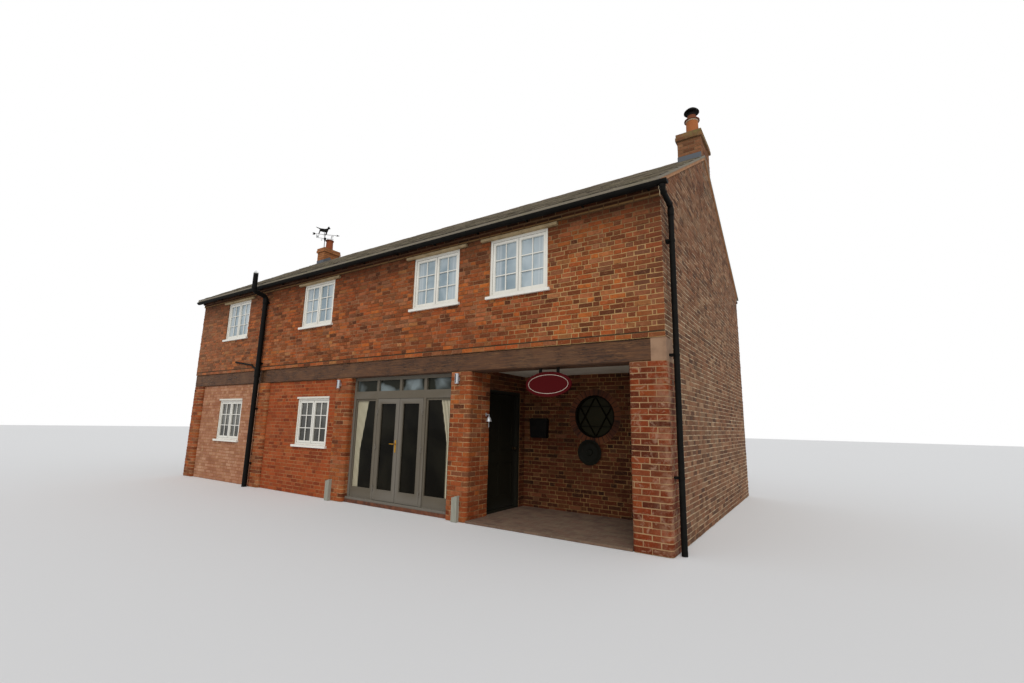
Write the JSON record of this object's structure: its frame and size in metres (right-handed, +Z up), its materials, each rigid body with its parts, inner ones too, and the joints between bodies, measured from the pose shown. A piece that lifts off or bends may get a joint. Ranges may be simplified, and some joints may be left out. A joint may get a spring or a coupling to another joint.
{
  "type": "converted brick coach house",
  "caption": "Long two-storey red brick coach house with a slate gable roof, timber-beamed bays, glazed doors, open porch, chimneys and weather vane",
  "frame": {"origin": "centre of the outer walls' footprint at ground level", "axes": "X along the front with the gable chimney and porch at +X, Y into the building from the front, Z up"},
  "size_m": [13.16, 7.313, 8.2669],
  "materials": {
    "old_brick": "weathered old red brick in pale lime mortar",
    "new_brick": "newer smooth red brick",
    "dark_timber": "dark weathered timber",
    "pad_stone": "pale mortar and stone",
    "white_paint": "white painted timber",
    "pale_paint": "cream painted timber",
    "olive_paint": "grey olive painted timber",
    "window_glass": "clear glass",
    "lacquered_brass": "lacquered brass",
    "white_plaster": "white painted plaster",
    "brick_paviours": "worn brick paviours",
    "dark_metal": "black painted iron",
    "silvered_metal": "dull silver metal",
    "grey_plastic": "ribbed grey plastic",
    "concrete": "plain concrete",
    "floor_boards": "sawn boards",
    "slate": "lichened slate",
    "clay": "unglazed terracotta",
    "black_plastic": "black rainwater goods",
    "lead": "dull grey lead sheet",
    "maroon_paint": "satin maroon paint with a pale line"
  },
  "bodies": {
    "building": {"front_wall": "old_brick", "rear_wall": "old_brick", "left_gable_wall": "old_brick", "right_gable_wall": "old_brick", "brick_piers": "old_brick", "beam_left": "dark_timber", "beam_right": "dark_timber", "beam_pad": "pad_stone", "infill_walls": "new_brick", "upper_window_frames": "white_paint", "lower_window_frames": "white_paint", "rear_window_frames": "white_paint", "window_glass": "window_glass", "window_sills": "white_paint", "window_lintels": "pale_paint", "screen_frame": "olive_paint", "screen_glass": "window_glass", "screen_sill": "olive_paint", "porch_back_wall": "new_brick", "porch_side_wall": "new_brick", "porch_ceiling": "white_plaster", "porch_floor": "brick_paviours", "entrance_frame": "dark_timber", "round_window_arch": "new_brick", "round_window": "dark_metal", "round_window_glass": "window_glass", "wall_dish": "dark_metal", "letterbox": "dark_metal", "doorbell": "silvered_metal", "pier_lights": "silvered_metal", "pier_guards": "grey_plastic", "ground_floor": "concrete", "upper_floor": "floor_boards", "roof_front": "slate", "roof_rear": "slate", "verge_courses": "clay", "ridge_tiles": "clay", "gutters": "black_plastic", "downpipe": "black_plastic", "soil_pipe": "black_plastic", "chimney_left": "old_brick", "chimney_right": "old_brick", "chimney_pots": "clay", "chimney_cowl": "dark_metal", "chimney_flashing": "lead", "vane_stand": "dark_metal", "sign_board": "maroon_paint", "sign_straps": "dark_metal"},
    "left_glazed_door": {"screen_door_left": "olive_paint", "door_glass_left": "window_glass", "screen_door_handle": "lacquered_brass"},
    "right_glazed_door": {"screen_door_right": "olive_paint", "door_glass_right": "window_glass"},
    "entrance_door_leaf": {"entrance_door": "dark_timber", "entrance_handle": "lacquered_brass"},
    "vane": {"weather_vane": "dark_metal"}
  },
  "joints": [
    {"name": "screen_door_left_hinge", "type": "hinge", "parent": "building", "child": "left_glazed_door", "pos_m": [0.97265, -3.1894, 1], "axis": [0, 0, -1], "range_deg": [0, 90]},
    {"name": "screen_door_right_hinge", "type": "hinge", "parent": "building", "child": "right_glazed_door", "pos_m": [2.15735, -3.1894, 1], "axis": [0, 0, 1], "range_deg": [0, 90]},
    {"name": "entrance_door_hinge", "type": "hinge", "parent": "building", "child": "entrance_door_leaf", "pos_m": [3.1266, -2.6725, 1], "axis": [0, 0, 1], "range_deg": [0, 85]},
    {"name": "vane_turn", "type": "hinge", "parent": "building", "child": "vane", "pos_m": [-5.95, -0.12, 7.94], "axis": [0, 0, 1], "continuous": true}
  ]
}
